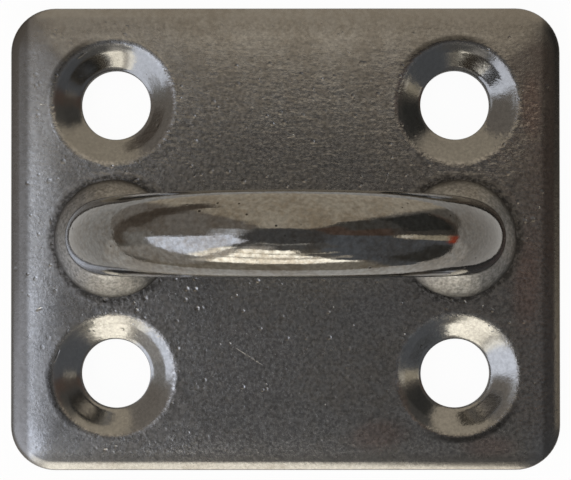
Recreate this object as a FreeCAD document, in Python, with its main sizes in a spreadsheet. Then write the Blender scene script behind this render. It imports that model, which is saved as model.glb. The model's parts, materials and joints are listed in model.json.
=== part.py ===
import FreeCAD, Part
import os

import Sketcher

# A small deck fairlead: a stainless plate pressed from sheet, and a bow bent from round rod.
# The bow's two legs stand in line with the screw rows, go through plain holes in the plate and
# have a ring of weld round them on its top face. +Z points out of the plate, +X runs along its
# length, and the mounting plane, which the rim and the screw seats stand on, is Z = 0.

# Driving dimensions: millimetres, and one angle in degrees
DIMENSIONS = {
    "sheet": 1.2,
    "hole_pitch_long": 23.5,
    "hole_pitch_wide": 18.6,
    "end_margin": 7.25,  # screw hole's centre to the plate's end
    "side_margin": 6.7,  # screw hole's centre to the plate's long side
    "corner_radius": 3.2,
    "rim_bend": 0.3,  # inside of the bend along the turned-down rim
    "hole_diameter": 4.8,
    "hole_land": 0.4,  # upright part of a screw hole's wall
    "hole_relief": 0.25,  # how far the punched hole widens below that
    "seat_depth": 1.1,  # depth of the countersink
    "countersink_angle": 110.0,
    "lip_radius": 1.7,
    "seat_land": 0.15,  # flat ring of each screw seat on the mounting plane
    "rod_diameter": 4.8,
    "leg_rise": 2.5,  # straight length of each leg above the top face
    "leg_clearance": 0.1,
    "bead_width": 1.6,  # how far a weld reaches out from its leg
    "bead_height": 1.75,  # how far it reaches up the leg
    "bead_face": 7.5,  # radius of its bulging face
}

doc = FreeCAD.newDocument("fairlead")
sizes = doc.addObject("Spreadsheet::Sheet", "Sizes")
for row, (name, value) in enumerate(DIMENSIONS.items(), start=1):
    sizes.set(f"A{row}", name)
    sizes.set(f"B{row}", str(value))
    sizes.setAlias(f"B{row}", name)
doc.recompute()

# Sizes that follow from the driving dimensions, as texts for the features.
# Below its countersink each screw hole is one sheet deep, down to the mounting plane.
TOP = "(Sizes.seat_depth + Sizes.sheet)"
UNDERSIDE = f"({TOP} - Sizes.sheet)"
PLATE_LENGTH = "(Sizes.hole_pitch_long + 2 * Sizes.end_margin)"
PLATE_WIDTH = "(Sizes.hole_pitch_wide + 2 * Sizes.side_margin)"
RIM_BEND = "(Sizes.rim_bend + Sizes.sheet)"
HALF_LONG = "(Sizes.hole_pitch_long / 2)"
HALF_WIDE = "(Sizes.hole_pitch_wide / 2)"
HALF_ANGLE = "(Sizes.countersink_angle / 2)"
HOLE_RADIUS = "(Sizes.hole_diameter / 2)"
SEAT_FOOT = "Sizes.sheet"
ROD_RADIUS = "(Sizes.rod_diameter / 2)"
LEG_HOLE_RADIUS = f"({ROD_RADIUS} + Sizes.leg_clearance)"
ARCH_BASE = f"({TOP} + Sizes.leg_rise)"


def size_of(text):
    """The number that a size text gives."""
    value = sizes.evalExpression(text)
    return float(getattr(value, "Value", value))


def new_body(label):
    body = doc.addObject("PartDesign::Body", label)
    body.Label = label
    return body


def origin_plane(body, role):
    return next(item for item in body.Origin.OriginFeatures if item.Role == role)


def new_sketch(body, name, role, across="0", up="0", out="0"):
    """A sketch on one of the body's own planes, its origin moved by size texts."""
    sketch = body.newObject("Sketcher::SketchObject", name)
    sketch.AttachmentSupport = (origin_plane(body, role), [""])
    sketch.MapMode = "FlatFace"
    for axis, text in zip("xyz", (across, up, out)):
        if text != "0":
            sketch.setExpression(f"AttachmentOffset.Base.{axis}", text)
    doc.recompute()
    return sketch


def dimension(sketch, kind, *where, text):
    """A sketch dimension tied to a size text."""
    index = sketch.addConstraint(Sketcher.Constraint(kind, *where, size_of(text)))
    sketch.setExpression(f"Constraints[{index}]", text)


def pin_corner(sketch, edge, end, across, up):
    """Hold an edge's end at a place given by size texts, or on an axis where one is 0."""
    for text, kind, axis in ((across, "DistanceX", -2), (up, "DistanceY", -1)):
        if text == "0":
            sketch.addConstraint(Sketcher.Constraint("PointOnObject", edge, end, axis))
        else:
            dimension(sketch, kind, -1, 1, edge, end, text=text)


def edge_between(start, end, radius, turn):
    """A straight edge, or the short arc that turns 1 (anticlockwise) or -1 (clockwise)."""
    if radius == 0:
        return Part.LineSegment(start, end)
    chord = end - start
    side = FreeCAD.Vector(-chord.y, chord.x, 0).normalize() * turn
    centre = (start + end) / 2 + side * (radius ** 2 - chord.Length ** 2 / 4) ** 0.5
    return Part.Arc(start, centre - side * radius, end)


def draw_profile(sketch, corners):
    """A closed outline of (across, up) corners, with (radius, turn) added where an arc leaves one."""
    places = [FreeCAD.Vector(size_of(corner[0]), size_of(corner[1]), 0) for corner in corners]
    ends = []
    for corner, start, end in zip(corners, places, places[1:] + places[:1]):
        radius, turn = corner[2:] or ("0", 1)
        edge = sketch.addGeometry(edge_between(start, end, size_of(radius), turn), False)
        ends.append((edge, 1, 2) if turn > 0 else (edge, 2, 1))
        if radius != "0":
            dimension(sketch, "Radius", edge, text=radius)
    for corner, this, following in zip(corners, ends, ends[1:] + ends[:1]):
        meeting = Sketcher.Constraint("Coincident", this[0], this[2], following[0], following[1])
        sketch.addConstraint(meeting)
        pin_corner(sketch, this[0], this[1], corner[0], corner[1])
    doc.recompute()


def draw_rectangle(sketch, length, width):
    """A rectangle centred on the sketch's origin."""
    half_length = size_of(length) / 2
    half_width = size_of(width) / 2
    signs = ((-1, -1), (1, -1), (1, 1), (-1, 1))
    corners = [FreeCAD.Vector(x * half_length, y * half_width, 0) for x, y in signs]
    for start, end in zip(corners, corners[1:] + corners[:1]):
        sketch.addGeometry(Part.LineSegment(start, end), False)
    for edge in range(4):
        direction = ("Horizontal", "Vertical")[edge % 2]
        sketch.addConstraint(Sketcher.Constraint("Coincident", edge, 2, (edge + 1) % 4, 1))
        sketch.addConstraint(Sketcher.Constraint(direction, edge))
    sketch.addConstraint(Sketcher.Constraint("Symmetric", 0, 1, 1, 2, -1, 1))
    dimension(sketch, "DistanceX", 0, 1, 0, 2, text=length)
    dimension(sketch, "DistanceY", 1, 1, 1, 2, text=width)
    doc.recompute()


def draw_circle(sketch, across, up, radius):
    centre = FreeCAD.Vector(size_of(across), size_of(up), 0)
    circle = Part.Circle(centre, FreeCAD.Vector(0, 0, 1), size_of(radius))
    edge = sketch.addGeometry(circle, False)
    pin_corner(sketch, edge, 3, across, up)
    dimension(sketch, "Radius", edge, text=radius)
    doc.recompute()


def add_turned(body, kind, name, sketch):
    """A full turn of a profile about its sketch's upright axis, added or cut away."""
    feature = body.newObject(f"PartDesign::{kind}", name)
    feature.Profile = sketch
    feature.ReferenceAxis = (sketch, ["V_Axis"])
    feature.Angle = 360
    doc.recompute()
    return feature


def add_fillet(body, name, base, edges, radius):
    feature = body.newObject("PartDesign::Fillet", name)
    feature.Base = (base, edges)
    feature.setExpression("Radius", radius)
    doc.recompute()
    return feature


def add_mirrors(body, name, originals, roles):
    """Copies of some features on the far side of one or two of the body's planes."""
    pattern = body.newObject("PartDesign::MultiTransform", name)
    pattern.Originals = originals
    steps = []
    for number, role in enumerate(roles, start=1):
        step = body.newObject("PartDesign::Mirrored", f"{name}_{number}")
        step.MirrorPlane = (origin_plane(body, role), [""])
        steps.append(step)
    pattern.Transformations = steps
    body.Tip = pattern
    doc.recompute()
    return pattern


def edges_where(feature, wanted):
    """Names of a feature's edges for which wanted(edge) holds."""
    edges = enumerate(feature.Shape.Edges, start=1)
    return [f"Edge{number}" for number, edge in edges if wanted(edge)]


def stands_upright(edge):
    return abs(edge.tangentAt(edge.FirstParameter).z) > 0.999


def lies_at(height):
    """A test for edges that lie in the level plane at a height."""
    def wanted(edge):
        return abs(edge.BoundBox.ZMin - height) < 1e-6 and abs(edge.BoundBox.ZMax - height) < 1e-6
    return wanted


def press_shell(body):
    """The sheet itself: a rounded blank with its rim turned down, hollow below."""
    outline = new_sketch(body, "plate_outline", "XY_Plane")
    draw_rectangle(outline, PLATE_LENGTH, PLATE_WIDTH)
    blank = body.newObject("PartDesign::Pad", "plate_blank")
    blank.Profile = outline
    blank.setExpression("Length", TOP)
    doc.recompute()
    corners = edges_where(blank, stands_upright)
    rounded = add_fillet(body, "plan_corners", blank, corners, "Sizes.corner_radius")
    rim = edges_where(rounded, lies_at(size_of(TOP)))
    bent = add_fillet(body, "rim_bend", rounded, rim, RIM_BEND)
    below = min(range(len(bent.Shape.Faces)), key=lambda n: bent.Shape.Faces[n].CenterOfMass.z)
    hollow = body.newObject("PartDesign::Thickness", "hollow_underside")
    hollow.Base = (bent, [f"Face{below + 1}"])
    hollow.setExpression("Value", "Sizes.sheet")
    hollow.Reversed = True
    doc.recompute()


def press_screw_seats(body):
    """Four dimples that carry countersunk heads, each standing on the mounting plane."""
    place = {"across": HALF_LONG, "out": f"-{HALF_WIDE}"}
    back_radius = f"({HOLE_RADIUS} + Sizes.hole_relief)"
    land_radius = f"({back_radius} + Sizes.seat_land)"
    dimple = new_sketch(body, "seat_dimple_profile", "XZ_Plane", **place)
    draw_profile(dimple, [
        ("0", "0"),
        (land_radius, "0"),
        (f"{land_radius} + {UNDERSIDE} * tan({HALF_ANGLE} * 1 deg)", UNDERSIDE),
        ("0", UNDERSIDE),
    ])
    added = add_turned(body, "Revolution", "seat_dimple", dimple)
    # The lip's arc leaves the cone and the top face at a tangent length from the corner between them
    head_radius = f"({HOLE_RADIUS} + Sizes.seat_depth * tan({HALF_ANGLE} * 1 deg))"
    tangent = f"Sizes.lip_radius * tan((90 - {HALF_ANGLE}) / 2 * 1 deg)"
    lip_foot = f"{head_radius} - {tangent} * sin({HALF_ANGLE} * 1 deg)"
    lip_foot_height = f"{TOP} - {tangent} * cos({HALF_ANGLE} * 1 deg)"
    mouth = new_sketch(body, "seat_mouth_profile", "XZ_Plane", **place)
    draw_profile(mouth, [
        ("0", "0"),
        (back_radius, "0"),
        (HOLE_RADIUS, f"{SEAT_FOOT} - Sizes.hole_land"),
        (HOLE_RADIUS, SEAT_FOOT),
        (lip_foot, lip_foot_height, "Sizes.lip_radius", -1),
        (f"{head_radius} + {tangent}", TOP),
        ("0", TOP),
    ])
    cut = add_turned(body, "Groove", "seat_mouth", mouth)
    add_mirrors(body, "screw_seats", [added, cut], ["YZ_Plane", "XZ_Plane"])


def pierce_leg_holes(body):
    """Two plain holes for the bow's legs, midway between the screw rows."""
    outline = new_sketch(body, "leg_hole_outline", "XY_Plane")
    draw_circle(outline, HALF_LONG, "0", LEG_HOLE_RADIUS)
    hole = body.newObject("PartDesign::Pocket", "leg_hole")
    hole.Profile = outline
    hole.Reversed = True
    hole.setExpression("Length", TOP)
    doc.recompute()
    add_mirrors(body, "leg_holes", [hole], ["YZ_Plane"])


def make_base_plate():
    body = new_body("base_plate")
    press_shell(body)
    press_screw_seats(body)
    pierce_leg_holes(body)
    return body


def make_bow():
    """Round rod bent to a half circle, its legs cut off level with the plate's underside."""
    body = new_body("bow")
    path = new_sketch(body, "bow_path", "XZ_Plane")
    reach = size_of(HALF_LONG)
    foot = size_of(UNDERSIDE)
    base = size_of(ARCH_BASE)
    right_foot = FreeCAD.Vector(reach, foot, 0)
    right_shoulder = FreeCAD.Vector(reach, base, 0)
    left_shoulder = FreeCAD.Vector(-reach, base, 0)
    left_foot = FreeCAD.Vector(-reach, foot, 0)
    crown = FreeCAD.Vector(0, base + reach, 0)
    right_leg = path.addGeometry(Part.LineSegment(right_foot, right_shoulder), False)
    arch = path.addGeometry(Part.Arc(right_shoulder, crown, left_shoulder), False)
    left_leg = path.addGeometry(Part.LineSegment(left_shoulder, left_foot), False)
    pin_corner(path, right_leg, 1, HALF_LONG, UNDERSIDE)
    pin_corner(path, right_leg, 2, HALF_LONG, ARCH_BASE)
    path.addConstraint(Sketcher.Constraint("Coincident", right_leg, 2, arch, 1))
    path.addConstraint(Sketcher.Constraint("PointOnObject", arch, 3, -2))
    path.addConstraint(Sketcher.Constraint("Horizontal", arch, 1, arch, 3))
    path.addConstraint(Sketcher.Constraint("Horizontal", arch, 2, arch, 3))
    path.addConstraint(Sketcher.Constraint("Coincident", arch, 2, left_leg, 1))
    path.addConstraint(Sketcher.Constraint("Vertical", left_leg))
    path.addConstraint(Sketcher.Constraint("Horizontal", left_leg, 2, right_leg, 1))
    section = new_sketch(body, "rod_section", "XY_Plane", out=UNDERSIDE)
    draw_circle(section, HALF_LONG, "0", ROD_RADIUS)
    rod = body.newObject("PartDesign::AdditivePipe", "bent_rod")
    rod.Profile = section
    rod.Spine = (path, [])
    doc.recompute()
    return body


def make_weld_bead(label, side):
    """The ring of weld between a leg and the plate's top face."""
    body = new_body(label)
    body.setExpression("Placement.Base.x", f"{side} * {HALF_LONG}")
    profile = new_sketch(body, f"{label}_profile", "XZ_Plane")
    draw_profile(profile, [
        (ROD_RADIUS, TOP),
        (f"{ROD_RADIUS} + Sizes.bead_width", TOP, "Sizes.bead_face", 1),
        (ROD_RADIUS, f"{TOP} + Sizes.bead_height"),
    ])
    add_turned(body, "Revolution", f"{label}_ring", profile)
    return body


def check_document():
    """Stop where a feature has failed or a piece has no sound solid."""
    failed = [item.Name for item in doc.Objects if {"Invalid", "Error"} & set(item.State)]
    if failed:
        raise RuntimeError(f"failed features: {failed}")
    for body in pieces:
        if body.Shape.isNull() or not body.Shape.isValid() or len(body.Shape.Solids) != 1:
            raise RuntimeError(f"{body.Label} is not one sound solid")


pieces = [
    make_base_plate(),
    make_bow(),
    make_weld_bead("weld_bead_left", -1),
    make_weld_bead("weld_bead_right", 1),
]
doc.recompute()
check_document()

os.makedirs("parts", exist_ok=True)
for piece in pieces:
    piece.Shape.exportStep(f"parts/{piece.Label}.step")
    print(f"{piece.Label}: {piece.Shape.Volume:.2f} cubic millimetres")
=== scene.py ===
import json
from math import ceil, cos, hypot, pi, radians, sin, tan

import bmesh
import bpy
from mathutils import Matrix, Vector
from mathutils.geometry import delaunay_2d_cdt


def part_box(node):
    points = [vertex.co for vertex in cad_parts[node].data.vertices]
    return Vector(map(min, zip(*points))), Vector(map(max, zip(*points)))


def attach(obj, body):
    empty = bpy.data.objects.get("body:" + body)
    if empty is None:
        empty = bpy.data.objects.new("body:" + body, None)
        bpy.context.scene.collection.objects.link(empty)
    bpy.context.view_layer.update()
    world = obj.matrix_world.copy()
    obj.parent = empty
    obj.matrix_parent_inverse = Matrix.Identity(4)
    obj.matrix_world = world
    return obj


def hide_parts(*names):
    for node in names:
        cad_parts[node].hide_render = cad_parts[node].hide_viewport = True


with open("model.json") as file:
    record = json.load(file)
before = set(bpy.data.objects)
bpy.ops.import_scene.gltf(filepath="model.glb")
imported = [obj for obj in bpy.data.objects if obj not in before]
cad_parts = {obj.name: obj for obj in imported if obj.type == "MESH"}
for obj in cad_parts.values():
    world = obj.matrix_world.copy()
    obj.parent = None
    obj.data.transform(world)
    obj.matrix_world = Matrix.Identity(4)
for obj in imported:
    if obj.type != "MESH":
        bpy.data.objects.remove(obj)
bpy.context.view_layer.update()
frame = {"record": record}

# The looks of a small stainless fairlead, seen from straight above: a pressed plate with four
# countersunk screw seats, a polished rod bow, and a ring of weld round each of its legs.
# Lengths in the dictionaries are millimetres, and everything built is in metres.
mm = 0.001

# Small helpers for node trees


def addNode(tree, kind, **settings):
    node = tree.nodes.new(kind)
    for name, value in settings.items():
        setattr(node, name, value)
    return node


def feed(socket, value):
    # value is another node's output, or a plain number, vector or colour
    if isinstance(value, bpy.types.NodeSocket):
        socket.id_data.links.new(value, socket)
    else:
        socket.default_value = value


def fedNode(kind, sockets, values, **settings):
    # a node with its sockets fed, in the tree that the first linked value comes from
    tree = next(value.id_data for value in values if isinstance(value, bpy.types.NodeSocket))
    node = addNode(tree, kind, **settings)
    for socket, value in zip(sockets, values):
        feed(node.inputs[socket], value)
    return node


def maths(operation, *values, clamp=False):
    node = fedNode("ShaderNodeMath", range(3), values, operation=operation, use_clamp=clamp)
    return node.outputs[0]


def chained(operation):
    # a helper that takes its values from left to right through one operation
    def applied(first, *others):
        for value in others:
            first = maths(operation, first, value)
        return first
    return applied


times, plus, minus, over = (chained(name) for name in ("MULTIPLY", "ADD", "SUBTRACT", "DIVIDE"))
larger, smaller = chained("MAXIMUM"), chained("MINIMUM")


def sizeOf(value):
    return maths("ABSOLUTE", value)


def lengthOf(across, along):
    return maths("SQRT", plus(*[times(value, value) for value in (across, along)]))


def depthInOutline(x, y, halfLength, halfBreadth, corner):
    # how far a point lies inside a rounded rectangle's outline
    acrossX = plus(minus(sizeOf(x), halfLength), corner)
    acrossY = plus(minus(sizeOf(y), halfBreadth), corner)
    outer = lengthOf(larger(acrossX, 0.0), larger(acrossY, 0.0))
    return minus(corner, plus(outer, smaller(larger(acrossX, acrossY), 0.0)))


def vectorMaths(operation, *values):
    node = fedNode("ShaderNodeVectorMath", range(3), values, operation=operation)
    return node.outputs["Vector"]


def splitVector(vector):
    return list(fedNode("ShaderNodeSeparateXYZ", [0], [vector]).outputs)


def joinVector(*values):
    return fedNode("ShaderNodeCombineXYZ", range(3), values).outputs[0]


def ramped(value, fromLow, fromHigh, toLow=0.0, toHigh=1.0):
    # a smooth step between two values
    values = (value, fromLow, fromHigh, toLow, toHigh)
    node = fedNode("ShaderNodeMapRange", range(5), values, interpolation_type="SMOOTHSTEP")
    return node.outputs[0]


def noiseOf(place, scale, detail=2.0, seed=0.0, roughness=0.5):
    sockets = ("Vector", "W", "Scale", "Detail", "Roughness")
    values = (place, seed, scale, detail, roughness)
    return fedNode("ShaderNodeTexNoise", sockets, values, noise_dimensions="4D").outputs[0]


def blendColour(factor, first, second, mode="MIX"):
    values = (factor, first, second)
    node = fedNode("ShaderNodeMix", (0, 6, 7), values, data_type="RGBA", blend_type=mode)
    return node.outputs[2]


def blendValue(factor, first, second):
    node = fedNode("ShaderNodeMix", (0, 2, 3), (factor, first, second), data_type="FLOAT")
    return node.outputs[0]


def newTree(name, kind, inputs, outputs):
    # inputs say a socket's type, or its default: a float, or a whole number for a count
    tree = bpy.data.node_groups.new(name, kind)
    for label, said in inputs.items():
        socketType = said if isinstance(said, str) else "Int" if isinstance(said, int) else "Float"
        socket = tree.interface.new_socket(label, in_out="INPUT",
                                           socket_type="NodeSocket" + socketType)
        if not isinstance(said, str):
            socket.default_value = said
    for label, socketType in outputs.items():
        tree.interface.new_socket(label, in_out="OUTPUT", socket_type="NodeSocket" + socketType)
    return tree, addNode(tree, "NodeGroupInput").outputs, addNode(tree, "NodeGroupOutput").inputs


def keyOf(socket):
    # a socket called Peel Scale takes the keyword peelScale
    name = socket.name.replace(" ", "")
    return name[0].lower() + name[1:]


def placeGroup(group, **values):
    node = fedNode("ShaderNodeGroup", (), values.values(), node_tree=group)
    for socket in node.inputs:
        if keyOf(socket) in values:
            feed(socket, values[keyOf(socket)])
    return node.outputs


def inMetres(look, *keys):
    return {key: look[key] * mm for key in keys}


# Places and sizes that the frame gives

_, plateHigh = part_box("base_plate")
bowLow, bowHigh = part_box("bow")
weldLow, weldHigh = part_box("weld_bead_right")
screwDims = frame["record"]["mounts"][0]["dims"]
halfLong = screwDims["spacing_x_mm"] / 2 * mm
halfWide = screwDims["spacing_y_mm"] / 2 * mm
holeRadius = screwDims["hole_r_mm"] * mm
rodRadius = bowHigh.y
archBase = bowHigh.z - rodRadius - halfLong
weldRadius = weldHigh.y
print("frame read: plate", tuple(round(v / mm, 2) for v in plateHigh), "arch base",
      round(archBase / mm, 2))


# The pressed plate's shape

plateShape = {
    "sheet": 1.2,
    "cornerRadius": 3.2,
    "rimWidth": 1.5,      # the swept part of the top face along the rim
    # distance in from the rim's edge and the tilt there, in degrees
    "rimRoll": [(0.72, 0), (0.62, 6), (0.09, 24), (0.0, 82)],
    "rimDraft": 0.12,     # how far the rim's foot stands outside its upper edge
    "cutEdge": 0.12,      # rounding along the cut edges of the sheet
    "seatDepth": 1.1,
    # distance from the screw's middle and the tilt there, from the lip down the seat
    "seatTilts": [(4.5, 0), (4.36, 4), (4.26, 9), (4.17, 17), (4.02, 24), (3.82, 27), (3.61, 30),
                  (3.45, 35), (2.46, 35)],
    "backAngle": 110,     # of the dimple's underside
    "backRadius": 0.5,
    "holeLand": 0.4,      # upright part of the hole's wall, which widens below it
    "holeRelief": 0.25,
    "seatLand": 0.15,
    "legGap": 0.1,
    "fieldStep": 0.34,    # spacing of the points in the flat field
    "ringSteps": 128,
}

pressingLook = {
    "seatEdge": 4.4,       # radius where the sink round a screw seat starts
    "seatDraw": 0.05,      # how far the sheet sinks towards a screw seat
    "legDraw": 0.03,
    "drawReach": 1.6,
    "shoulderDrop": 0.48,  # how far the plate falls off towards its rim
    "shoulderReach": 1.9,
    "shoulderSpread": 1.2, # wider fall towards the upper left corner
    "unevenness": 0.03,
    "seed": 1.0,
}


def arcPoints(across, up, radius, fromDegrees, toDegrees, count):
    turns = [radians(fromDegrees + (toDegrees - fromDegrees) * i / count) for i in range(count + 1)]
    return [(across + radius * cos(turn), up + radius * sin(turn)) for turn in turns]


def linePoints(start, end, count):
    # the points between two ends, without the ends
    return [tuple(a + (b - a) * i / count for a, b in zip(start, end)) for i in range(1, count)]


def walkedPoints(tilts, height, steps):
    # (radius, height) down a slope whose tilt changes evenly between its named places
    points = [(tilts[0][0], height)]
    for (start, tilt), (end, nextTilt) in zip(tilts, tilts[1:]):
        for i in range(steps):
            slope = radians(tilt + (nextTilt - tilt) * (i + 0.5) / steps)
            height -= abs(start - end) / steps * tan(slope)
            points.append((start + (end - start) * (i + 1) / steps, height))
    return points


def seatProfile(shape, top):
    # (radius, height) from the lip on the top face, through the hole and back under the plate
    slope = 90 - shape["backAngle"] / 2
    spread = tan(radians(shape["backAngle"] / 2))
    edge = shape["cutEdge"] / 2
    hole = holeRadius / mm
    foot = top - shape["seatDepth"]
    under = top - shape["sheet"]
    lip = walkedPoints(shape["seatTilts"], top, 4)
    wall = [(hole + edge * 0.3, foot), (hole, foot - edge)]
    back = hole + shape["holeRelief"]
    land = back + shape["seatLand"]
    bend = shape["backRadius"] * tan(radians(slope / 2))
    backBend = arcPoints(land + under * spread + bend, under - shape["backRadius"],
                         shape["backRadius"], 90 + slope, 90, 5)
    return (lip + wall + [(hole, foot - shape["holeLand"])]
            + linePoints((hole, foot - shape["holeLand"]), (back, 0), 4)
            + [(back, edge), (back + edge, 0), (land, 0)]
            + linePoints((land, 0), backBend[0], 5) + backBend)


def legHoleProfile(shape, top):
    # (radius, height) down the plain hole, its edges broken
    radius = rodRadius / mm + shape["legGap"]
    under = top - shape["sheet"]
    edge = shape["cutEdge"]
    return [(radius + edge, top), (radius, top - edge), (radius, under + edge),
            (radius + edge, under)]


def rimProfile(shape, top):
    # (distance out from the plate's outline, height)
    edge = shape["cutEdge"]
    sheet = shape["sheet"]
    inner = shape["rimWidth"] - sheet
    slope = walkedPoints(shape["rimRoll"], top, 8)
    roll = [(-distance - shape["rimDraft"], height) for distance, height in slope]
    start = (-shape["rimWidth"], top)
    outside = [start] + linePoints(start, roll[0], 3) + roll
    cut = arcPoints(-edge, edge, edge, 0, -90, 4)
    back = arcPoints(-shape["rimWidth"], top - shape["rimWidth"], inner, 0, 90, 5)
    return (outside + linePoints(outside[-1], cut[0], 8) + cut
            + [(-sheet + edge * 0.5, 0), (-sheet, edge * 0.5)]
            + linePoints((-sheet, edge * 0.5), back[0], 4) + back)


def ringAt(centre, radius, steps):
    turns = [2 * pi * i / steps for i in range(steps)]
    return [(centre[0] + radius * cos(turn), centre[1] + radius * sin(turn)) for turn in turns]


def outlinePath(shape, step):
    # (x, y, normal x, normal y) round the plate's outline, anticlockwise from the right side
    halfX, halfY, corner = plateHigh.x / mm, plateHigh.y / mm, shape["cornerRadius"]
    cornerSteps = 14
    path = []
    for number, (signX, signY) in enumerate(((1, 1), (-1, 1), (-1, -1), (1, -1))):
        centre = (signX * (halfX - corner), signY * (halfY - corner))
        for i in range(cornerSteps + 1):
            angle = radians(90 * (number + i / cornerSteps))
            path.append((centre[0] + corner * cos(angle), centre[1] + corner * sin(angle),
                         cos(angle), sin(angle)))
        run = 2 * ((halfX if number % 2 == 0 else halfY) - corner)
        pieces = ceil(run / step)
        last = path[-1]
        for i in range(1, pieces):
            along = run * i / pieces
            path.append((last[0] - last[3] * along, last[1] + last[2] * along, last[2], last[3]))
    return path


def depthInside(shape, x, y):
    # how far a point lies inside the plate's outline
    acrossX = abs(x) - (plateHigh.x / mm - shape["cornerRadius"])
    acrossY = abs(y) - (plateHigh.y / mm - shape["cornerRadius"])
    beyond = hypot(max(acrossX, 0), max(acrossY, 0)) + min(max(acrossX, acrossY), 0)
    return shape["cornerRadius"] - beyond


def fieldMesh(shape, path, height, openings, step, upwards):
    # a flat face at one height, with evenly spread points, between the rim and the openings
    inset = shape["rimWidth"]
    loops = [[(x - nx * inset, y - ny * inset) for x, y, nx, ny in path]]
    loops += [ringAt(centre, radius, shape["ringSteps"]) for centre, radius in openings]
    points, edges = [], []
    for loop in loops:
        first = len(points)
        points += loop
        edges += [(first + i, first + (i + 1) % len(loop)) for i in range(len(loop))]
    rowStep = step * 0.866     # the rows of a grid of even triangles
    clear = step * 0.6         # kept free along the edges
    rows = ceil(2 * plateHigh.y / mm / rowStep)
    columns = ceil(2 * plateHigh.x / mm / step)
    for row in range(rows):
        for column in range(columns):
            x = (column + 0.5 * (row % 2) - columns / 2) * step
            y = (row - rows / 2) * rowStep
            if depthInside(shape, x, y) < inset + clear:
                continue
            if all(hypot(x - c[0], y - c[1]) > r + clear for c, r in openings):
                points.append((x, y))
    found = delaunay_2d_cdt([Vector(p) for p in points], edges, [], 1, 1e-6)
    corners = [tuple(v) for v in found[0]]
    faces = []
    for face in found[2]:
        middle = [sum(corners[i][k] for i in face) / len(face) for k in (0, 1)]
        if depthInside(shape, *middle) < inset - 1e-4:
            continue
        if any(hypot(middle[0] - c[0], middle[1] - c[1]) < r for c, r in openings):
            continue
        faces.append(face if upwards else face[::-1])
    return [(x, y, height) for x, y in corners], faces


def sweptMesh(rows, closed=False):
    # rows of points, each a closed loop, joined into quads; closed joins the last row to the first
    count = len(rows[0])
    points = [point for row in rows for point in row]
    faces = []
    for r in range(len(rows) if closed else len(rows) - 1):
        below = (r + 1) % len(rows)
        for i in range(count):
            following = (i + 1) % count
            faces.append((r * count + i, below * count + i, below * count + following,
                          r * count + following))
    return points, faces


def turnedMesh(centre, profile, steps, closed=False):
    # a (radius, height) profile turned about an upright axis
    return sweptMesh([[(x, y, height) for x, y in ringAt(centre, radius, steps)]
                      for radius, height in profile], closed)


def meshObject(name, parts):
    # one mesh from (points, faces) parts in millimetres, doubles merged and faces turned out
    shell = bmesh.new()
    for points, faces in parts:
        corners = [shell.verts.new([c * mm for c in point]) for point in points]
        for face in faces:
            shell.faces.new([corners[i] for i in face])
    bmesh.ops.remove_doubles(shell, verts=shell.verts, dist=0.001 * mm)
    bmesh.ops.recalc_face_normals(shell, faces=shell.faces)
    mesh = bpy.data.meshes.new(name)
    shell.to_mesh(mesh)
    shell.free()
    item = bpy.data.objects.new(name, mesh)
    bpy.context.scene.collection.objects.link(item)
    return item


def buildPlate(shape):
    top = plateHigh.z / mm
    under = top - shape["sheet"]
    seat = seatProfile(shape, top)
    legHole = legHoleProfile(shape, top)
    hx, hy = halfLong / mm, halfWide / mm
    seats = [(sx * hx, sy * hy) for sx in (-1, 1) for sy in (-1, 1)]
    legs = [(-hx, 0), (hx, 0)]
    path = outlinePath(shape, shape["fieldStep"])
    parts = []
    for profile, places in ((seat, seats), (legHole, legs)):
        parts += [turnedMesh(place, profile, shape["ringSteps"]) for place in places]
    parts.append(sweptMesh([[(x + nx * out, y + ny * out, z) for x, y, nx, ny in path]
                            for out, z in rimProfile(shape, top)]))
    for height, profileEnd, step, upwards in ((top, 0, shape["fieldStep"], True),
                                              (under, -1, shape["fieldStep"] * 2, False)):
        openings = [(place, seat[profileEnd][0]) for place in seats]
        openings += [(place, legHole[profileEnd][0]) for place in legs]
        parts.append(fieldMesh(shape, path, height, openings, step, upwards))
    return meshObject("plate", parts)


def finishTree(shape, given, made):
    # every geometry tree ends in the same two nodes
    realized = fedNode("GeometryNodeRealizeInstances", [0], [shape]).outputs[0]
    painted = fedNode("GeometryNodeSetMaterial", ("Geometry", "Material"),
                      (realized, given["Finish"]))
    feed(made[0], painted.outputs[0])


def movedBy(shape, offset):
    return fedNode("GeometryNodeSetPosition", ("Geometry", "Offset"), (shape, offset)).outputs[0]


def storedAs(shape, name, value, kind="FLOAT"):
    node = fedNode("GeometryNodeStoreNamedAttribute", ("Geometry", "Name", "Value"),
                   (shape, name, value), data_type=kind, domain="POINT")
    return node.outputs[0]


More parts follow.
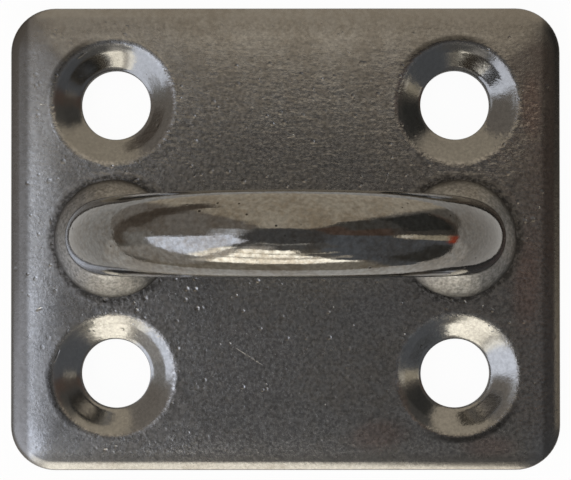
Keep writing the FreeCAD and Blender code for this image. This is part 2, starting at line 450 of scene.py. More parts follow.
def buildPressing():
    # What pressing leaves in the sheet: the sink round seats and legs, shoulders that roll off
    # towards the rim and an uneven surface. The feet and the cut edges stay where they are.
    tree, given, made = newTree("pressing", "GeometryNodeTree", {
        "Sheet": "Geometry", "Screw X": 0.012, "Screw Y": 0.009, "Plate X": 0.019,
        "Plate Y": 0.016, "Corner Radius": 0.003, "Top": 0.002, "Seat Edge": 0.0045,
        "Leg Edge": 0.004, "Seat Draw": 0.0, "Leg Draw": 0.0, "Draw Reach": 0.002,
        "Shoulder Drop": 0.0, "Shoulder Reach": 0.003, "Shoulder Spread": 0.0, "Unevenness": 0.0,
        "Seed": 0.0, "Finish": "Material",
    }, {"Pressed": "Geometry"})
    place = addNode(tree, "GeometryNodeInputPosition").outputs[0]
    x, y, z = splitVector(place)
    sizeX = sizeOf(x)
    sizeY = sizeOf(y)

    def faded(distance, reach, depth):
        share = over(larger(distance, 0.0), reach)
        fall = maths("EXPONENT", times(share, share, -1.0))
        return times(fall, depth)

    acrossScrew = minus(sizeX, given["Screw X"])
    toSeat = minus(lengthOf(acrossScrew, minus(sizeY, given["Screw Y"])), given["Seat Edge"])
    toLeg = minus(lengthOf(acrossScrew, y), given["Leg Edge"])
    sink = plus(faded(toSeat, given["Draw Reach"], given["Seat Draw"]),
                faded(toLeg, given["Draw Reach"], given["Leg Draw"]))

    inside = depthInOutline(x, y, given["Plate X"], given["Plate Y"], given["Corner Radius"])
    towardsLeft = ramped(x, -0.004, -0.015)
    towardsUpper = ramped(y, -0.004, 0.005)
    wider = times(towardsLeft, towardsUpper, given["Shoulder Spread"])
    reach = plus(given["Shoulder Reach"], wider)
    fall = maths("EXPONENT", times(over(inside, reach), -1.0))
    sink = plus(sink, times(fall, given["Shoulder Drop"]))

    broad = noiseOf(place, 160.0, 2.0, given["Seed"])
    uneven = times(minus(broad, 0.5), given["Unevenness"])
    lift = minus(uneven, sink)
    free = ramped(over(z, given["Top"]), 0.1, 0.62)
    pressed = movedBy(given["Sheet"], joinVector(0.0, 0.0, times(lift, free)))
    normal = addNode(tree, "GeometryNodeInputNormal").outputs[0]
    below = ramped(splitVector(normal)[2], 0.1, -0.5)
    finishTree(storedAs(pressed, "underside", below), given, made)
    return tree


def runTree(item, tree, sharpDegrees=35, **values):
    # puts the tree on the object with its values, and keeps the result as a plain mesh
    modifier = item.modifiers.new(tree.name, "NODES")
    modifier.node_group = tree
    for socket in tree.interface.items_tree:
        if socket.in_out == "INPUT" and keyOf(socket) in values:
            modifier[socket.identifier] = values[keyOf(socket)]
    graph = bpy.context.evaluated_depsgraph_get()
    mesh = bpy.data.meshes.new_from_object(item.evaluated_get(graph))
    item.modifiers.remove(modifier)
    item.data = mesh
    mesh.shade_smooth()
    mesh.set_sharp_from_angle(angle=radians(sharpDegrees))
    print(item.name, "made:", len(mesh.polygons), "faces")
    return item


# The bow's shape

bowShape = {
    "ringSteps": 96,
    "lengthSteps": 260,
    "endChamfer": 0.25,
    "unevenness": 0.012,
    "seed": 3.0,
}


def buildBending():
    # A straight rod that is bent round a former: two legs and a half circle between them.
    # Where each point was on the straight rod is kept, for marks that follow the rod.
    tree, given, made = newTree("rodBending", "GeometryNodeTree", {
        "Start": "Geometry", "Rod Radius": 0.0024, "Bend Radius": 0.01175, "Foot": 0.0,
        "Arch Base": 0.0058, "Ring Steps": 64, "Length Steps": 200, "End Chamfer": 0.0002,
        "Unevenness": 0.0, "Seed": 0.0, "Finish": "Material",
    }, {"Bow": "Geometry"})
    legLength = minus(given["Arch Base"], given["Foot"])
    archLength = times(given["Bend Radius"], pi)
    wholeLength = plus(times(legLength, 2.0), archLength)
    line = fedNode("GeometryNodeCurvePrimitiveLine", ["End"], [joinVector(0.0, 0.0, wholeLength)])
    divided = fedNode("GeometryNodeResampleCurve", ("Curve", "Count"),
                      (line.outputs[0], given["Length Steps"]))
    circle = fedNode("GeometryNodeCurvePrimitiveCircle", ("Resolution", "Radius"),
                     (given["Ring Steps"], given["Rod Radius"]))
    swept = fedNode("GeometryNodeCurveToMesh", ("Curve", "Profile Curve", "Fill Caps"),
                    (divided.outputs[0], circle.outputs[0], True))
    place = addNode(tree, "GeometryNodeInputPosition").outputs[0]
    rod = storedAs(swept.outputs[0], "straightRod", place, "FLOAT_VECTOR")

    outward, sideways, along = splitVector(place)
    # the rod's ends are broken, and its surface is a little uneven
    toEnd = smaller(along, minus(wholeLength, along))
    chamfer = larger(minus(given["End Chamfer"], toEnd), 0.0)
    broad = noiseOf(place, 190.0, 1.0, given["Seed"])
    wobble = times(minus(broad, 0.62), given["Unevenness"])
    change = over(minus(wobble, chamfer), given["Rod Radius"])
    scale = plus(1.0, change)
    outward = times(outward, scale)
    sideways = times(sideways, scale)
    past = minus(along, legLength)
    angle = over(past, given["Bend Radius"])
    angle = smaller(larger(angle, 0.0), pi)
    reach = plus(given["Bend Radius"], outward)
    below = smaller(past, 0.0)
    beyond = larger(minus(past, archLength), 0.0)
    height = plus(given["Arch Base"], times(reach, maths("SINE", angle)))
    height = plus(height, minus(below, beyond))
    bent = joinVector(times(reach, maths("COSINE", angle)), sideways, height)
    finishTree(movedBy(rod, vectorMaths("SUBTRACT", bent, place)), given, made)
    return tree


# The welds' shape

weldShape = {
    # distance from the leg's middle and the tilt there, from the leg down to the toe
    "faceTilts": [(2.38, 22), (2.55, 33), (2.8, 43), (3.6, 49), (3.88, 55), (4.0, 68)],
    "ringSteps": 180,
    "rippleCount": 27.0,
    "rippleHeight": 0.014,
    "unevenness": 0.2,
    "seed": {"left": 2.0, "right": 6.0},
}


def weldProfile(shape):
    # (radius, height) from the leg over the bulging face to the toe, and back inside the leg
    foot = weldLow.z / mm
    face = walkedPoints(shape["faceTilts"], 0, 6)
    drop = face[-1][1]
    face = [(radius, foot + height - drop) for radius, height in face]
    inner = rodRadius / mm - 0.05
    return face + [(face[-1][0] - 0.6, foot), (inner, foot), (inner, face[0][1])]


def buildWeld(name, side, shape):
    centre = (side * halfLong / mm, 0)
    return meshObject(name, [turnedMesh(centre, weldProfile(shape), shape["ringSteps"], True)])


def buildRippling():
    # The uneven face that a welder's steps leave, and a wandering toe
    tree, given, made = newTree("weldRippling", "GeometryNodeTree", {
        "Ring": "Geometry", "Centre X": 0.0, "Leg Radius": 0.0024, "Toe Radius": 0.004,
        "Ripple Count": 30.0, "Ripple Height": 0.0, "Unevenness": 0.0, "Seed": 0.0,
        "Finish": "Material",
    }, {"Weld": "Geometry"})
    place = addNode(tree, "GeometryNodeInputPosition").outputs[0]
    x, y, z = splitVector(place)
    across = minus(x, given["Centre X"])
    radius = lengthOf(across, y)
    angle = maths("ARCTAN2", y, across)
    share = maths("DIVIDE", minus(radius, given["Leg Radius"]),
                  minus(given["Toe Radius"], given["Leg Radius"]), clamp=True)
    broad = minus(noiseOf(place, 420.0, 2.0, given["Seed"]), 0.5)
    # each step of the weld is a crescent that trails behind at its toe
    phase = times(angle, given["Ripple Count"])
    phase = plus(phase, times(share, share, 2.4))
    phase = plus(phase, times(broad, 5.0))
    ripple = times(maths("SINE", phase), given["Ripple Height"])
    middleShare = times(share, minus(1.0, share))
    ripple = times(ripple, times(middleShare, 4.0))
    wander = times(broad, given["Unevenness"], share)
    outward = plus(ripple, wander)
    direction = vectorMaths("NORMALIZE", joinVector(across, y, 0.0))
    offset = fedNode("ShaderNodeVectorMath", ("Vector", "Scale"), (direction, outward),
                     operation="SCALE")
    finishTree(movedBy(given["Ring"], offset.outputs[0]), given, made)
    return tree


# Shader groups that the finishes share

def buildSkin():
    # the uneven skin of tumbled steel: a soft peel with a fine grain on it
    group, given, made = newTree("skin", "ShaderNodeTree", {
        "Place": "Vector", "Peel Scale": 1900.0, "Grain Scale": 7500.0, "Grain Share": 0.3,
        "Seed": 0.0,
    }, {"Height": "Float"})
    peel = noiseOf(given["Place"], given["Peel Scale"], 2.0, given["Seed"])
    grain = noiseOf(given["Place"], given["Grain Scale"], 3.0, given["Seed"], 0.6)
    feed(made[0], blendValue(given["Grain Share"], peel, grain))
    return group


def buildPitting():
    # scattered small pits, each with its own size
    group, given, made = newTree("pitting", "ShaderNodeTree", {
        "Place": "Vector", "Scale": 1000.0, "Share": 0.2, "Size": 0.1,
    }, {"Mask": "Float"})
    cells = fedNode("ShaderNodeTexVoronoi", ("Vector", "Scale"), (given["Place"], given["Scale"]),
                    voronoi_dimensions="3D")
    chance, width, _ = splitVector(cells.outputs["Color"])
    radius = times(given["Size"], plus(0.4, width))
    pit = maths("SUBTRACT", 1.0, over(cells.outputs["Distance"], radius), clamp=True)
    chosen = maths("LESS_THAN", chance, given["Share"])
    feed(made[0], times(ramped(pit, 0.0, 0.7), chosen))
    return group


def buildMarks():
    # fine polishing marks: noise drawn out along one direction
    group, given, made = newTree("polishingMarks", "ShaderNodeTree", {
        "Place": "Vector", "Stretch": "Vector", "Scale": 4000.0, "Seed": 0.0,
    }, {"Height": "Float"})
    drawn = vectorMaths("MULTIPLY", given["Place"], given["Stretch"])
    feed(made[0], noiseOf(drawn, given["Scale"], 2.0, given["Seed"], 0.55))
    return group


def buildTarnish():
    # slow changes of tone, and stains where they gather
    group, given, made = newTree("tarnish", "ShaderNodeTree", {
        "Place": "Vector", "Clean": "Color", "Stained": "Color", "Scale": 250.0, "Amount": 0.5,
        "Seed": 0.0,
    }, {"Colour": "Color", "Mask": "Float"})
    broad = noiseOf(given["Place"], given["Scale"], 3.0, given["Seed"], 0.55)
    fine = noiseOf(given["Place"], times(given["Scale"], 9.0), 3.0, given["Seed"], 0.6)
    both = plus(times(broad, 0.5), times(fine, 0.5))
    mask = times(ramped(both, 0.4, 0.62), given["Amount"])
    feed(made[0], blendColour(mask, given["Clean"], given["Stained"]))
    feed(made[1], mask)
    return group


def buildRingMask():
    # a soft ring round points that lie mirrored about both middle planes
    group, given, made = newTree("ringMask", "ShaderNodeTree", {
        "Place": "Vector", "Centre X": 0.0, "Centre Y": 0.0, "Inner": 0.0, "Outer": 0.004,
        "Soft": 0.0002,
    }, {"Mask": "Float"})
    x, y, _ = splitVector(given["Place"])
    acrossX = minus(sizeOf(x), given["Centre X"])
    acrossY = minus(sizeOf(y), given["Centre Y"])
    away = lengthOf(acrossX, acrossY)
    past = over(minus(away, given["Inner"]), given["Soft"])
    short = over(minus(given["Outer"], away), given["Soft"])
    feed(made[0], times(ramped(past, -1.0, 1.0), ramped(short, -1.0, 1.0)))
    return group


def buildNick():
    # one small dent, longer than it is wide
    group, given, made = newTree("nick", "ShaderNodeTree", {
        "Place": "Vector", "Centre": "Vector", "Turn": 0.0, "Length": 0.0005, "Width": 0.0001,
    }, {"Mask": "Float"})
    around = (vectorMaths("SUBTRACT", given["Place"], given["Centre"]), times(given["Turn"], -1.0))
    turned = fedNode("ShaderNodeVectorRotate", ("Vector", "Angle"), around, rotation_type="Z_AXIS")
    along, across, _ = splitVector(turned.outputs[0])
    away = lengthOf(over(along, given["Length"]), over(across, given["Width"]))
    feed(made[0], ramped(away, 0.5, 0.15))
    return group


def buildSpeckle():
    # fine grain that shows as lighter and darker grains of steel
    group, given, made = newTree("speckle", "ShaderNodeTree", {
        "Place": "Vector", "Scale": 5000.0, "Amount": 0.3, "Seed": 0.0,
    }, {"Shade": "Color", "Height": "Float"})
    grain = noiseOf(given["Place"], given["Scale"], 3.0, given["Seed"], 0.65)
    shade = ramped(grain, 0.3, 0.7, minus(1.0, given["Amount"]), plus(1.0, given["Amount"]))
    feed(made[0], joinVector(shade, shade, shade))
    feed(made[1], grain)
    return group


skin = buildSkin()
speckle = buildSpeckle()
pitting = buildPitting()
polishingMarks = buildMarks()
tarnish = buildTarnish()
ringMask = buildRingMask()
nick = buildNick()


def newMaterial(name, metallic=1.0):
    material = bpy.data.materials.new(name)
    material.use_nodes = True
    tree = material.node_tree
    tree.nodes.clear()
    shader = addNode(tree, "ShaderNodeBsdfPrincipled")
    feed(shader.inputs["Metallic"], metallic)
    output = addNode(tree, "ShaderNodeOutputMaterial")
    feed(output.inputs[0], shader.outputs[0])
    return material, tree, shader


def bumped(height, distance, under=None):
    # distance is the height's full range, in millimetres
    node = fedNode("ShaderNodeBump", ("Height", "Distance"), (height, distance * mm))
    if under is not None:
        feed(node.inputs["Normal"], under)
    return node.outputs[0]


plateFinish = {
    "clean": (0.285, 0.281, 0.276, 1),
    "bright": (0.375, 0.375, 0.375, 1),   # painted sheen, a lighter band along the left edge
    "stained": (0.225, 0.212, 0.196, 1),
    # painted shadow of the bow, on the sheet just above it
    "dull": (0.2, 0.193, 0.185, 1),
    "edge": (0.115, 0.107, 0.098, 1),    # painted shade along the rolled edges, strongest at the ends
    "toe": (0.05, 0.047, 0.044, 1),
    "seat": (0.235, 0.23, 0.22, 1),
    # painted shade: the upper seats are darker than the lower ones
    "upperSeat": (0.195, 0.19, 0.18, 1),
    "underside": (0.16, 0.145, 0.125, 1),
    "roughness": 0.24,
    "seatRoughness": 0.15,
    "speckle": 0.36,       # how strongly the fine grain darkens and lightens the steel
    "peelHeight": 0.05,
    "pitDepth": 0.036,
    "markDepth": 0.034,
    "blush": (0.27, 0.195, 0.17, 1),     # faint reddish stains
    "blushShare": 0.45,
    # painted shade: dark arcs along the screw seats' lips, in place of the dark room they reflect:
    # which seat, the bearing of the arc's middle, its length
    "lipShades": [((-1, 1), 138, 6.5), ((1, 1), 106, 10.5), ((-1, -1), 198, 7.0),
                  ((1, -1), 288, 10.0)],
    "lipShadeShare": 0.8,
    "shadeReach": 4.4,
    "shadeWidth": 6.5,
    # rings round the screws and the legs: inner and outer radius, and the softness of their edges
    "seatRing": (4.05, 0.15),       # reaches in to the hole
    "lipRing": (4.05, 4.45, 0.12),
    "shadeRing": (4.22, 4.62, 0.14),
    "toeRing": (3.4, 4.48, 0.32),
    # bands across the plate, in metres: two places, and the band's shares there (or 0 and 1)
    "stainedRight": (0.004, 0.017, 0.0, 0.7),
    "rubbedIn": (0.0041, 0.0026),
    "rubbedLeft": (-0.011, -0.0155),
    "rubbedUpper": (0.014, 0.007),
    "rubbedLower": (-0.006, 0.001, 0.6, 1.0),
    "endEdges": (0.0173, 0.0178, 0.0, 0.85),
    "upperEdge": (0.0137, 0.0146, 0.0, 0.3),
    "lowerEdge": (-0.0144, -0.015, 0.0, 0.42),
    "dullUpper": (0.0095, 0.0065, 0.0, 0.7),
    "dullLower": (0.0, 0.003),
    "dullSides": (0.012, 0.009),
    "calmLeft": (-0.016, -0.011, 0.5, 1.0),
    "calmUpper": (0.008, 0.013, 1.0, 0.5),
    "calmRim": (0.0006, 0.0016, 0.35, 1.0),
    "calmSeats": 0.35,
    # each blush's or nick's centre, its turn in degrees, its length and its width
    "blushes": [
        ((6.3, -13.4), 8, 5.4, 3.0),
        ((16.4, -3.2), 88, 9.5, 2.6),
        ((13.9, -14.2), 0, 5.0, 2.2),
        ((16.8, 9.0), 90, 6.0, 2.0),
    ],
    "nicks": [
        ((-16.8, -4.8), 28, 0.6, 0.2),
        ((-16.0, 1.25), 80, 0.5, 0.22),
        ((-15.6, -8.0), 68, 1.4, 0.14),
        ((-13.9, 12.6), 36, 1.1, 0.14),
        ((-15.0, 5.7), 95, 0.4, 0.12),
        ((15.9, 1.1), -60, 0.5, 0.12),
        ((-10.2, 4.0), 20, 0.5, 0.3),
        ((-12.3, -14.4), 15, 0.4, 0.2),
        ((-11.6, -14.2), 50, 0.35, 0.18),
        ((-2.5, -8.0), -32, 2.4, 0.06),
        ((6.9, 4.2), 75, 0.8, 0.2),
        ((0.4, 7.0), 20, 0.7, 0.2),
        ((-16.5, 9.2), 0, 0.7, 0.08),
    ],
}


def ringAround(place, centreY, inner, outer, soft):
    # a ring round each leg (centreY 0) or each screw, its sizes in millimetres
    return placeGroup(ringMask, place=place, centreX=halfLong, centreY=centreY, inner=inner * mm,
                      outer=outer * mm, soft=soft * mm)[0]


def nickAt(place, centre, turn, length, width):
    # one soft oval on the top face, in millimetres and degrees
    return placeGroup(nick, place=place, centre=(centre[0] * mm, centre[1] * mm, plateHigh.z),
                      turn=radians(turn), length=length * mm, width=width * mm)[0]


def plateMaterial(look):
    material, tree, shader = newMaterial("plateSteel")
    place = addNode(tree, "ShaderNodeTexCoord").outputs["Object"]
    seats = ringAround(place, halfWide, -1, *look["seatRing"])
    lips = ringAround(place, halfWide, *look["lipRing"])
    shadeRing = ringAround(place, halfWide, *look["shadeRing"])
    toes = ringAround(place, 0.0, *look["toeRing"])
    below = addNode(tree, "ShaderNodeAttribute", attribute_name="underside").outputs["Fac"]
    x, y, _ = splitVector(place)

    colour = placeGroup(tarnish, place=place, clean=look["clean"], stained=look["stained"],
                        scale=230.0, amount=0.8, seed=4.0)
    # painted shade: the plate is darker and browner towards the right, in place of its darker
    # reflection there, in the stains' colour
    toned = blendColour(ramped(x, *look["stainedRight"]), colour["Colour"], look["stained"])
    inside = depthInOutline(x, y, plateHigh.x, plateHigh.y, plateShape["cornerRadius"] * mm)
    # painted sheen: a lighter band along the left edge, in place of the bright reflection there
    sheenNearEdge = times(ramped(inside, *look["rubbedIn"]), ramped(x, *look["rubbedLeft"]))
    sheenBand = times(ramped(y, *look["rubbedUpper"]), ramped(y, *look["rubbedLower"]))
    toned = blendColour(times(sheenNearEdge, sheenBand), toned, look["bright"])
    for blush in look["blushes"]:
        share = times(nickAt(place, *blush), look["blushShare"])
        toned = blendColour(share, toned, look["blush"])
    # painted shade: a dark band along the rolled edges, strongest at the ends, in place of the dark
    # reflection there
    sides = larger(ramped(y, *look["upperEdge"]), ramped(y, *look["lowerEdge"]))
    edgeShade = larger(ramped(sizeOf(x), *look["endEdges"]), sides)
    toned = blendColour(edgeShade, toned, look["edge"])
    # painted shade: the seats above the middle are darker
    seatColour = blendColour(ramped(y, -0.002, 0.002), look["seat"], look["upperSeat"])
    toned = blendColour(times(seats, 0.9), toned, seatColour)
    # painted shadow: the sheet is a little darker just above the bow
    dull = times(ramped(y, *look["dullUpper"]), ramped(y, *look["dullLower"]),
                 ramped(sizeOf(x), *look["dullSides"]))
    toned = blendColour(dull, toned, look["dull"])
    # painted shade: dark arcs along the lips of the screw seats
    shades = 0.0
    for (sideX, sideY), bearing, length in look["lipShades"]:
        centre = (sideX * halfLong / mm + look["shadeReach"] * cos(radians(bearing)),
                  sideY * halfWide / mm + look["shadeReach"] * sin(radians(bearing)))
        shade = nickAt(place, centre, bearing + 90, length, look["shadeWidth"])
        shades = larger(shades, shade)
    shades = times(shades, times(shadeRing, look["lipShadeShare"]))
    toned = blendColour(shades, toned, look["toe"])
    # the grain is calmer along the edges, and in the seats
    calm = times(ramped(x, *look["calmLeft"]), ramped(y, *look["calmUpper"]),
                 ramped(inside, *look["calmRim"]), blendValue(seats, 1.0, look["calmSeats"]))
    fine = placeGroup(speckle, place=place, scale=4300.0, seed=6.0,
                      amount=times(calm, look["speckle"]))
    toned = blendColour(1.0, toned, fine["Shade"], "MULTIPLY")
    toeShare = times(toes, ramped(fine["Height"], 0.4, 0.62, 0.95, 0.6))
    toned = blendColour(toeShare, toned, look["toe"])
    feed(shader.inputs["Base Color"], blendColour(below, toned, look["underside"]))
    rough = blendValue(seats, look["roughness"], look["seatRoughness"])
    rough = plus(rough, times(colour["Mask"], 0.06))
    rough = plus(rough, times(larger(toes, below), 0.2))
    feed(shader.inputs["Roughness"], rough)

    # the sheet's skin is liveliest round the lips and toes and calm in the seats
    busy = ramped(noiseOf(place, 130.0, 1.0, 5.0), 0.35, 0.6, 0.6, 1.0)
    busy = times(busy, calm)
    busy = plus(busy, larger(times(lips, 0.45), toes))
    peel = placeGroup(skin, place=place, peelScale=1700.0, grainScale=5600.0, grainShare=0.45,
                      seed=1.0)[0]
    peel = times(minus(peel, 0.5), busy)
    normal = bumped(peel, look["peelHeight"])
    pits = placeGroup(pitting, place=place, scale=1500.0, share=1.0, size=0.24)[0]
    gathered = ramped(noiseOf(place, 420.0, 2.0, 11.0), 0.42, 0.55, 0.05, 1.0)
    pits = times(pits, times(gathered, ramped(y, -0.014, -0.003, 0.3, 1.0)))
    dashes = placeGroup(polishingMarks, place=place, stretch=(0.42, 1.0, 1.0), scale=3600.0,
                        seed=2.0)[0]
    above = ramped(y, 0.0, 0.006, 0.3, 1.0)
    dashHeight = times(dashes, times(above, busy))
    dents = times(pits, busy, -1.0)
    for mark in look["nicks"]:
        dents = minus(dents, nickAt(place, *mark))
    normal = bumped(dents, look["pitDepth"], normal)
    normal = bumped(dashHeight, look["markDepth"], normal)
    feed(shader.inputs["Normal"], normal)
    return material


bowFinish = {
    "clean": (0.225, 0.221, 0.212, 1),
    "stained": (0.16, 0.143, 0.123, 1),
    "end": (0.11, 0.096, 0.081, 1),     # painted shade: the right end is a little darker and browner
    "pits": (0.04, 0.034, 0.028, 1),
    "sawn": (0.2, 0.19, 0.175, 1),     # the rod's two cut ends
    "sawnRoughness": 0.42,
    "roughness": 0.05,
    "speckle": 0.18,
    "peelHeight": 0.008,
    "markDepth": 0.01,
    "pitDepth": 0.005,
}


def bowMaterial(look):
    # the marks follow the rod, so they read the place that each point had on it before bending
    material, tree, shader = newMaterial("rodSteel")
    rod = addNode(tree, "ShaderNodeAttribute", attribute_name="straightRod").outputs["Vector"]
    along = splitVector(rod)[2]
    colour = placeGroup(tarnish, place=rod, clean=look["clean"], stained=look["stained"],
                        scale=420.0, amount=0.85, seed=7.0)
    # painted shade: the rod is darker towards its right end
    toned = blendColour(ramped(along, 0.018, 0.009, 0.0, 0.7), colour["Colour"], look["end"])
    fine = placeGroup(speckle, place=rod, scale=4200.0, amount=look["speckle"], seed=3.0)
    toned = blendColour(1.0, toned, fine["Shade"], "MULTIPLY")
    pits = placeGroup(pitting, place=rod, scale=1700.0, share=0.75, size=0.14)[0]
    toned = blendColour(pits, toned, look["pits"])
    rodLength = 2 * (archBase - bowLow.z) + pi * halfLong
    toEnd = smaller(along, minus(rodLength, along))
    sawn = ramped(toEnd, 0.0004, 0.0002)
    feed(shader.inputs["Base Color"], blendColour(sawn, toned, look["sawn"]))
    rough = plus(look["roughness"], times(colour["Mask"], 0.06))
    rough = plus(rough, times(pits, 0.3))
    feed(shader.inputs["Roughness"], blendValue(sawn, rough, look["sawnRoughness"]))
    peel = placeGroup(skin, place=rod, peelScale=1500.0, grainScale=5500.0, grainShare=0.4,
                      seed=8.0)[0]
    marks = placeGroup(polishingMarks, place=rod, stretch=(1.0, 1.0, 0.06), scale=2600.0,
                       seed=3.0)[0]
    normal = bumped(peel, look["peelHeight"])
    normal = bumped(marks, look["markDepth"], normal)
    normal = bumped(times(pits, -1.0), look["pitDepth"], normal)
    feed(shader.inputs["Normal"], normal)
    return material


weldFinish = {
    "clean": (0.305, 0.3, 0.292, 1),
    "stained": (0.24, 0.226, 0.208, 1),
    "toe": (0.1, 0.095, 0.09, 1),
    "roughness": 0.46,
    "speckle": 0.35,
    "peelHeight": 0.035,
    "toeRing": (3.84, 6, 0.3),
}


def weldMaterial(look):
    material, tree, shader = newMaterial("weldSteel")
    place = addNode(tree, "ShaderNodeTexCoord").outputs["Object"]
    toes = ringAround(place, 0.0, *look["toeRing"])
    colour = placeGroup(tarnish, place=place, clean=look["clean"], stained=look["stained"],
                        scale=500.0, amount=0.7, seed=9.0)
    fine = placeGroup(speckle, place=place, scale=4600.0, amount=look["speckle"], seed=1.0)
    toned = blendColour(1.0, colour["Colour"], fine["Shade"], "MULTIPLY")
    feed(shader.inputs["Base Color"], blendColour(toes, toned, look["toe"]))
    rough = plus(look["roughness"], times(colour["Mask"], 0.08))
    feed(shader.inputs["Roughness"], rough)
    peel = placeGroup(skin, place=place, peelScale=2000.0, grainScale=7500.0, grainShare=0.4,
                      seed=5.0)[0]
    feed(shader.inputs["Normal"], bumped(peel, look["peelHeight"]))
    return material


# Making the pieces

plate = runTree(buildPlate(plateShape), buildPressing(), screwX=halfLong, screwY=halfWide,
                plateX=plateHigh.x, plateY=plateHigh.y, top=plateHigh.z, legEdge=weldRadius,
                seed=pressingLook["seed"], finish=plateMaterial(plateFinish),
                **inMetres(plateShape, "cornerRadius"),
                **inMetres(pressingLook, "seatEdge", "seatDraw", "legDraw", "drawReach",
                           "shoulderDrop", "shoulderReach", "shoulderSpread", "unevenness"))

emptyRod = bpy.data.objects.new("rodBow", bpy.data.meshes.new("rodBow"))
bpy.context.scene.collection.objects.link(emptyRod)
bow = runTree(emptyRod, buildBending(), sharpDegrees=50, rodRadius=rodRadius,
              bendRadius=halfLong, foot=bowLow.z, archBase=archBase,
              ringSteps=bowShape["ringSteps"], lengthSteps=bowShape["lengthSteps"],
              seed=bowShape["seed"], finish=bowMaterial(bowFinish),
              **inMetres(bowShape, "endChamfer", "unevenness"))

rippling = buildRippling()
weldSteel = weldMaterial(weldFinish)
welds = {}
for sideName, side in (("left", -1), ("right", 1)):
    ring = buildWeld(sideName + "Weld", side, weldShape)
    welds[sideName] = runTree(ring, rippling, centreX=side * halfLong, legRadius=rodRadius,
                              toeRadius=weldRadius, rippleCount=weldShape["rippleCount"],
                              seed=weldShape["seed"][sideName], finish=weldSteel,
                              **inMetres(weldShape, "rippleHeight", "unevenness"))

for piece, node, slot in ((plate, "base_plate", "plate_steel"), (bow, "bow", "polished_rod"),
                          (welds["left"], "weld_bead_left", "weld_steel"),
                          (welds["right"], "weld_bead_right", "weld_steel")):
    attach(piece, "root")
    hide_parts(node)


# Floor, light and camera

floorLook = {
    "left": -190,
    "right": 190,
    "front": -50,
    "back": 26,
    "colour": (0.9, 0.885, 0.86, 1),
    "whiteness": 0.96,     # how far it is lifted to white near the fitting, as the camera sees it
    "mirrored": 0.8,       # how far it is evened out in what the metal shows
    "mirroredColour": (0.68, 0.67, 0.65, 1),
    "mirroredFront": (1.05, 1.03, 0.99, 1),
}


def buildFloor(look):
    # A sheet of pale paper. Seen directly it comes out white, with the shadow faint on it.
    mesh = bpy.data.meshes.new("floor")
    corners = [("left", "front"), ("right", "front"), ("right", "back"), ("left", "back")]
    mesh.from_pydata([(look[x] * mm, look[y] * mm, -0.01 * mm) for x, y in corners], [],
                     [(0, 1, 2, 3)])
    floor = bpy.data.objects.new("floor", mesh)
    bpy.context.scene.collection.objects.link(floor)
    material, tree, shader = newMaterial("palePaper", metallic=0.0)
    feed(shader.inputs["Base Color"], look["colour"])
    feed(shader.inputs["Roughness"], 0.9)
    rays = addNode(tree, "ShaderNodeLightPath").outputs
    direct = larger(rays["Is Camera Ray"], rays["Is Transmission Ray"])
    place = addNode(tree, "ShaderNodeTexCoord").outputs["Object"]
    across, along = (sizeOf(value) for value in splitVector(place)[:2])
    away = larger(minus(across, plateHigh.x), minus(along, plateHigh.y))
    whiteness = ramped(away, 0.001, 0.009, look["whiteness"], 1.0)
    mirrored = ramped(away, -0.0005, 0.0015, 0.0, look["mirrored"])
    seen = larger(times(direct, whiteness), times(rays["Is Glossy Ray"], mirrored))
    shown = blendColour(ramped(splitVector(place)[1], -0.014, -0.019), look["mirroredColour"],
                        look["mirroredFront"])
    white = fedNode("ShaderNodeEmission", [0], [blendColour(direct, shown, (1, 1, 1, 1))])
    mixed = fedNode("ShaderNodeMixShader", range(3), (seen, shader.outputs[0], white.outputs[0]))
    output = next(node for node in tree.nodes if node.type == "OUTPUT_MATERIAL")
    feed(output.inputs[0], mixed.outputs[0])
    mesh.materials.append(material)


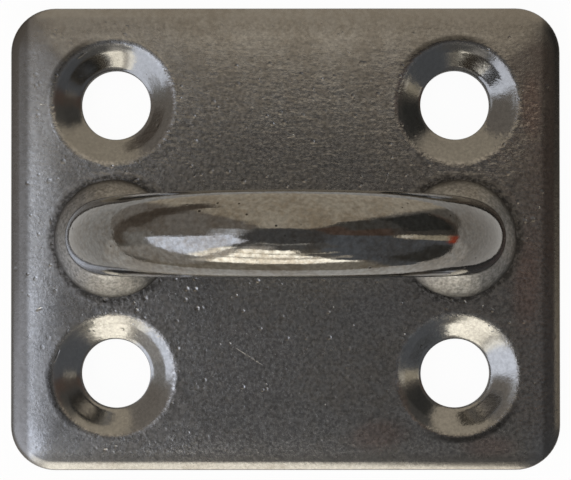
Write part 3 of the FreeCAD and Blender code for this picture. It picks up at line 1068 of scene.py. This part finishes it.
# The room, as the polished rod shows it: a pale wall behind, a large bluish window at the left,
# a warm bright strip in front, and dark screens overhead and at the right. Each panel has its
# bearing in degrees (0 is +X, 90 is +Y), half its width, the angles from straight up where it
# starts and ends, the softness of its edges and its colour.
roomLook = {
    "air": (0.3, 0.28, 0.25),
    "ragged": 0.085,
    "raggedScale": 16.0,
    "panels": {
        "backWall": (86, 41, 8, 150, 3, (0.88, 0.78, 0.63)),
        "leftWall": (154, 30, 20, 150, 3, (0.44, 0.4, 0.36)),
        "leftSill": (138, 26, 77, 95, 3, (0.2, 0.165, 0.135)),
        "leftSillEnd": (178, 17, 85, 95, 3, (0.24, 0.2, 0.165)),
        "rightBrown": (8, 30, 16, 95, 3, (0.225, 0.16, 0.13)),
        "rightDull": (4, 16, 54, 95, 3, (0.17, 0.155, 0.14)),
        "frontRight": (322, 32, 20, 110, 3, (0.23, 0.245, 0.27)),
        "frontRightFoot": (324, 17, 80, 104, 3, (0.12, 0.12, 0.115)),
        "rightShade": (29, 15, 32, 62, 3, (0.17, 0.165, 0.155)),
        "rightScreen": (24, 17, 60, 93, 2, (0.085, 0.085, 0.08)),
        "frontFoot": (262, 35, 80, 150, 3, (0.52, 0.47, 0.39)),
        "leftGap": (192, 16, 66, 86, 3, (0.52, 0.5, 0.47)),
        "leftFoot": (222, 22, 66, 97, 3, (0.72, 0.68, 0.63)),
        "rightGap": (354, 5, 56, 92, 1, (0.95, 0.85, 0.66)),
        "rightGapTip": (354, 3, 58, 66, 1, (1.6, 1.5, 1.3)),
        "redSpot": (352, 7, 89, 97, 2, (0.8, 0.15, 0.08)),
        "leftHigh": (176, 20, 20, 36, 4, (1.1, 1.14, 1.22)),
        "leftWindow": (211, 26, 25, 72, 2, (2.1, 2.25, 2.6)),
        "windowEdge": (233, 4, 30, 72, 2, (3.4, 3.3, 3.0)),
        "frontHigh": (268, 40, 8, 44, 3, (0.24, 0.235, 0.23)),
        "frontGlow": (250, 10, 34, 48, 5, (1.0, 0.95, 0.88)),
        "frontLine": (268, 26, 26, 29, 1, (2.4, 2.3, 2.1)),
        "frontLight": (260, 16, 46, 83, 2, (4.2, 4.0, 3.5)),
        "frontWing": (269, 10, 58, 83, 2, (4.2, 4.0, 3.5)),
        "frontBeam": (267, 30, 54, 56, 1, (1.2, 1.1, 0.9)),
        "frontRail": (267, 30, 66, 69, 2, (1.0, 0.9, 0.75)),
        "frontPost": (241, 3, 48, 84, 2, (1.4, 1.3, 1.15)),
    },
    "leans": {"frontWing": 0.6},   # degrees of bearing gained per degree down
    "overhead": {"tip": 8, "radius": 21.5, "soft": 3.5, "colour": (0.175, 0.173, 0.173)},
}


def buildPanelGroup():
    # a soft-edged patch of the sky dome
    group, given, made = newTree("panel", "ShaderNodeTree", {
        "Bearing": 0.0, "From Top": 0.0, "Towards": 0.0, "Lean": 0.0, "Half Width": 30.0,
        "Low": 30.0, "High": 60.0, "Soft": 3.0,
    }, {"Mask": "Float"})
    leaned = times(minus(given["From Top"], given["Low"]), given["Lean"])
    away = minus(given["Bearing"], given["Towards"], leaned)
    away = sizeOf(maths("WRAP", away, 180.0, -180.0))

    def inside(value, edge, side):
        # side is 1 where the panel lies above the edge, and -1 where it lies below
        soft = times(given["Soft"], side)
        return ramped(value, minus(given[edge], soft), plus(given[edge], soft))

    mask = times(inside(away, "Half Width", -1), inside(given["From Top"], "Low", 1),
                 inside(given["From Top"], "High", -1))
    feed(made[0], mask)
    return group


def buildWorld(look):
    world = bpy.data.worlds.new("room")
    bpy.context.scene.world = world
    world.use_nodes = True
    tree = world.node_tree
    tree.nodes.clear()
    direction = addNode(tree, "ShaderNodeTexCoord").outputs["Generated"]
    wander = fedNode("ShaderNodeTexNoise", ("Vector", "Scale", "Detail"),
                     (direction, look["raggedScale"], 5.0))
    shift = vectorMaths("SUBTRACT", wander.outputs["Color"], (0.5, 0.5, 0.5))
    shift = vectorMaths("MULTIPLY", shift, (look["ragged"],) * 3)
    direction = vectorMaths("NORMALIZE", vectorMaths("ADD", direction, shift))
    x, y, z = splitVector(direction)
    bearing = maths("DEGREES", maths("ARCTAN2", y, x))
    fromTop = maths("DEGREES", maths("ARCCOSINE", z))
    group = buildPanelGroup()
    colour = (*look["air"], 1)
    for name, (towards, halfWidth, low, high, soft, panelColour) in look["panels"].items():
        mask = placeGroup(group, bearing=bearing, fromTop=fromTop, towards=towards,
                          halfWidth=halfWidth, low=low, high=high, soft=soft,
                          lean=look["leans"].get(name, 0.0))[0]
        colour = blendColour(mask, colour, (*panelColour, 1))
    # a dark disc overhead, tipped towards the front
    above = look["overhead"]
    tip = radians(above["tip"])
    facing = plus(times(z, cos(tip)), times(y, -sin(tip)))
    off = maths("DEGREES", maths("ARCCOSINE", facing))
    covered = ramped(off, above["radius"] + above["soft"], above["radius"] - above["soft"])
    colour = blendColour(covered, colour, (*above["colour"], 1))
    # the backdrop is white where it is seen directly
    rays = addNode(tree, "ShaderNodeLightPath").outputs
    direct = larger(rays["Is Camera Ray"], rays["Is Transmission Ray"])
    light = fedNode("ShaderNodeBackground", [0], [blendColour(direct, colour, (1, 1, 1, 1))])
    output = addNode(tree, "ShaderNodeOutputWorld")
    feed(output.inputs[0], light.outputs[0])


# The camera hangs straight above the plate, as the photograph's perspective says
cameraLook = {"lens": 63.45, "place": (0.0, -1.3), "aboveTop": 68.5, "turn": (0.2, 0.0, -0.03),
              "shiftUp": 0.0253}


def buildCamera(look):
    data = bpy.data.cameras.new("camera")
    data.lens = look["lens"]
    data.sensor_width = 36
    data.shift_y = look["shiftUp"]
    data.clip_start = 0.005
    item = bpy.data.objects.new("camera", data)
    item.location = (look["place"][0] * mm, look["place"][1] * mm,
                     plateHigh.z + look["aboveTop"] * mm)
    item.rotation_euler = [radians(angle) for angle in look["turn"]]
    bpy.context.scene.collection.objects.link(item)
    bpy.context.scene.camera = item


buildFloor(floorLook)
buildWorld(roomLook)
buildCamera(cameraLook)
bpy.context.scene.view_settings.view_transform = "Standard"
print("stage set")
